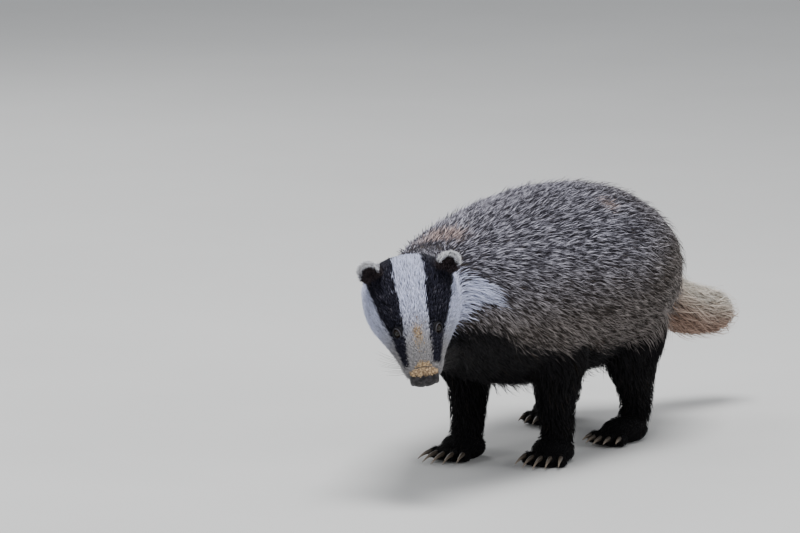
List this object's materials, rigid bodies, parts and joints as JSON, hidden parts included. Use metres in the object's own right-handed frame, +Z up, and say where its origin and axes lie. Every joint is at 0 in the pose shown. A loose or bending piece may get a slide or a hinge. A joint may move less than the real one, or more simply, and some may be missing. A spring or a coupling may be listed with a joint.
{
  "type": "european badger",
  "caption": "Life-size european badger in mid-step, head lowered and turned to its left, long grizzled coat, striped face, short tail and long digging claws.",
  "frame": {"origin": "on the floor, under the centre of the animal's box", "axes": "+Z up from the floor, -Y the way the body faces, +X the animal's left side"},
  "size_m": [0.2428, 0.8144, 0.3122],
  "materials": {
    "coat": "long coarse grizzled grey guard hair, matte",
    "face_fur": "short white fur with a black stripe over each eye, matte",
    "leg_fur": "short black fur, matte",
    "tail_fur": "long buff fur, matte",
    "nose_skin": "bare dark skin, half gloss",
    "eye": "wet dark brown eye",
    "claw_horn": "dark horn, satin"
  },
  "bodies": {
    "root": {"ear_left": "face_fur", "ear_right": "face_fur", "eye_left": "eye", "eye_right": "eye", "fore_left_claw_1": "claw_horn", "fore_left_claw_2": "claw_horn", "fore_left_claw_3": "claw_horn", "fore_left_claw_4": "claw_horn", "fore_left_claw_5": "claw_horn", "fore_left_leg": "leg_fur", "fore_left_paw": "leg_fur", "fore_right_claw_1": "claw_horn", "fore_right_claw_2": "claw_horn", "fore_right_claw_3": "claw_horn", "fore_right_claw_4": "claw_horn", "fore_right_claw_5": "claw_horn", "fore_right_leg": "leg_fur", "fore_right_paw": "leg_fur", "head": "face_fur", "hind_left_claw_1": "claw_horn", "hind_left_claw_2": "claw_horn", "hind_left_claw_3": "claw_horn", "hind_left_claw_4": "claw_horn", "hind_left_claw_5": "claw_horn", "hind_left_leg": "leg_fur", "hind_left_paw": "leg_fur", "hind_right_claw_1": "claw_horn", "hind_right_claw_2": "claw_horn", "hind_right_claw_3": "claw_horn", "hind_right_claw_4": "claw_horn", "hind_right_claw_5": "claw_horn", "hind_right_leg": "leg_fur", "hind_right_paw": "leg_fur", "lower_jaw": "face_fur", "neck": "coat", "nose": "nose_skin", "tail": "tail_fur", "torso": "coat"}
  },
  "joints": []
}
